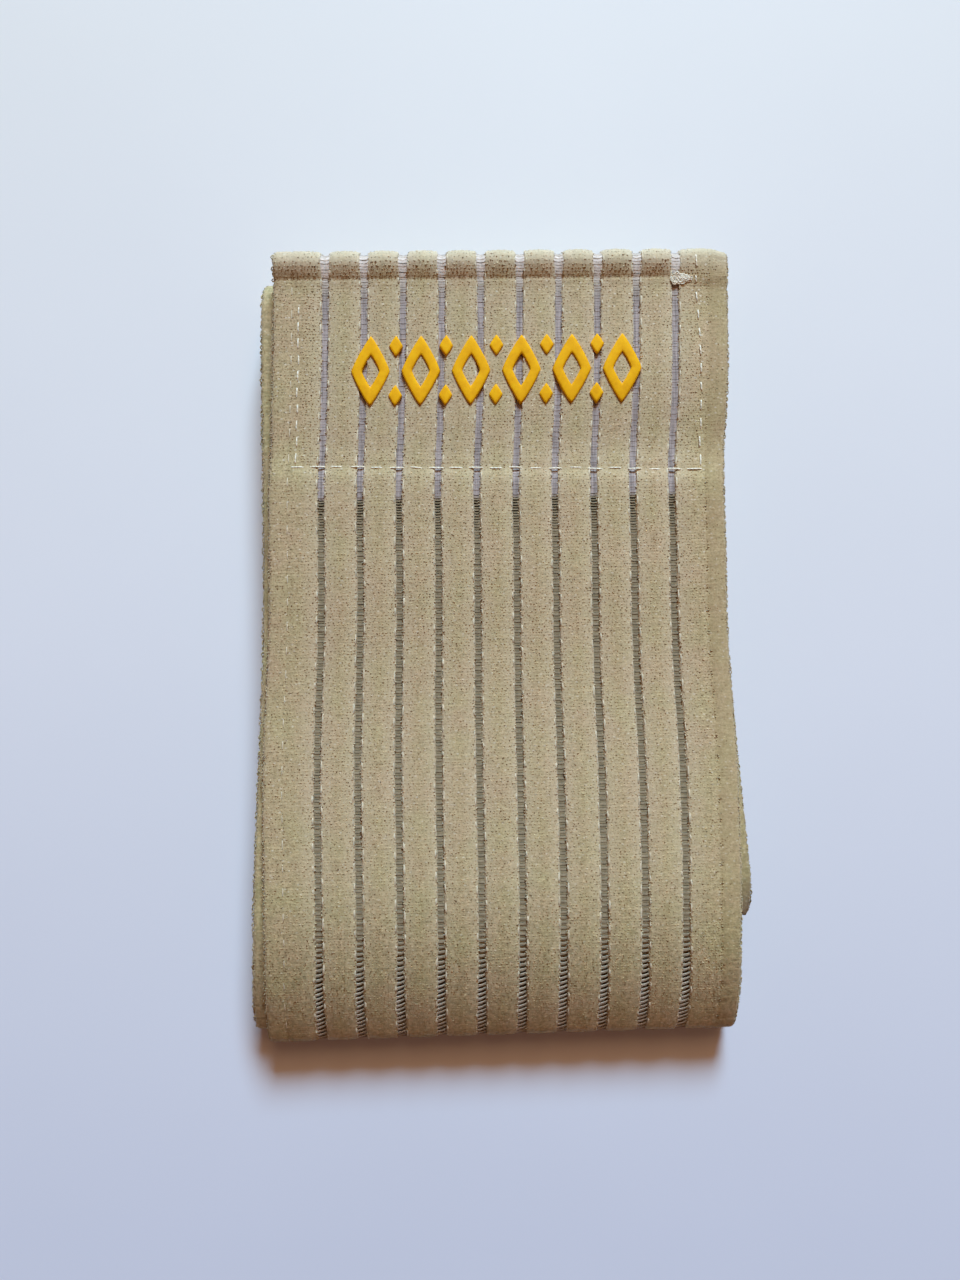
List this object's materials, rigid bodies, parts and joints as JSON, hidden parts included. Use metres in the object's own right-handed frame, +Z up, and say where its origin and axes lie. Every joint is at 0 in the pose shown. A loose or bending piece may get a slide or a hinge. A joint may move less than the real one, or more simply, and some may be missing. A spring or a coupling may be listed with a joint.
{
  "type": "ankle support",
  "caption": "Ribbed elastic ankle wrap rolled flat into a packet, with a hemmed outer end on top and a sewn-on hook fastener patch under it.",
  "frame": {"origin": "middle of the packet's footprint, on the surface that it lies on", "axes": "+X across the strap, +Y along the packet towards the hemmed outer end, +Z up from the surface"},
  "size_m": [0.0808, 0.1294, 0.0161],
  "materials": {
    "ribbed_elastic": "matt plush beige elastic web",
    "hook_tape": "pale nylon fastener hooks"
  },
  "bodies": {
    "root": {"strap": "ribbed_elastic", "hook_patch": "hook_tape"}
  },
  "joints": []
}
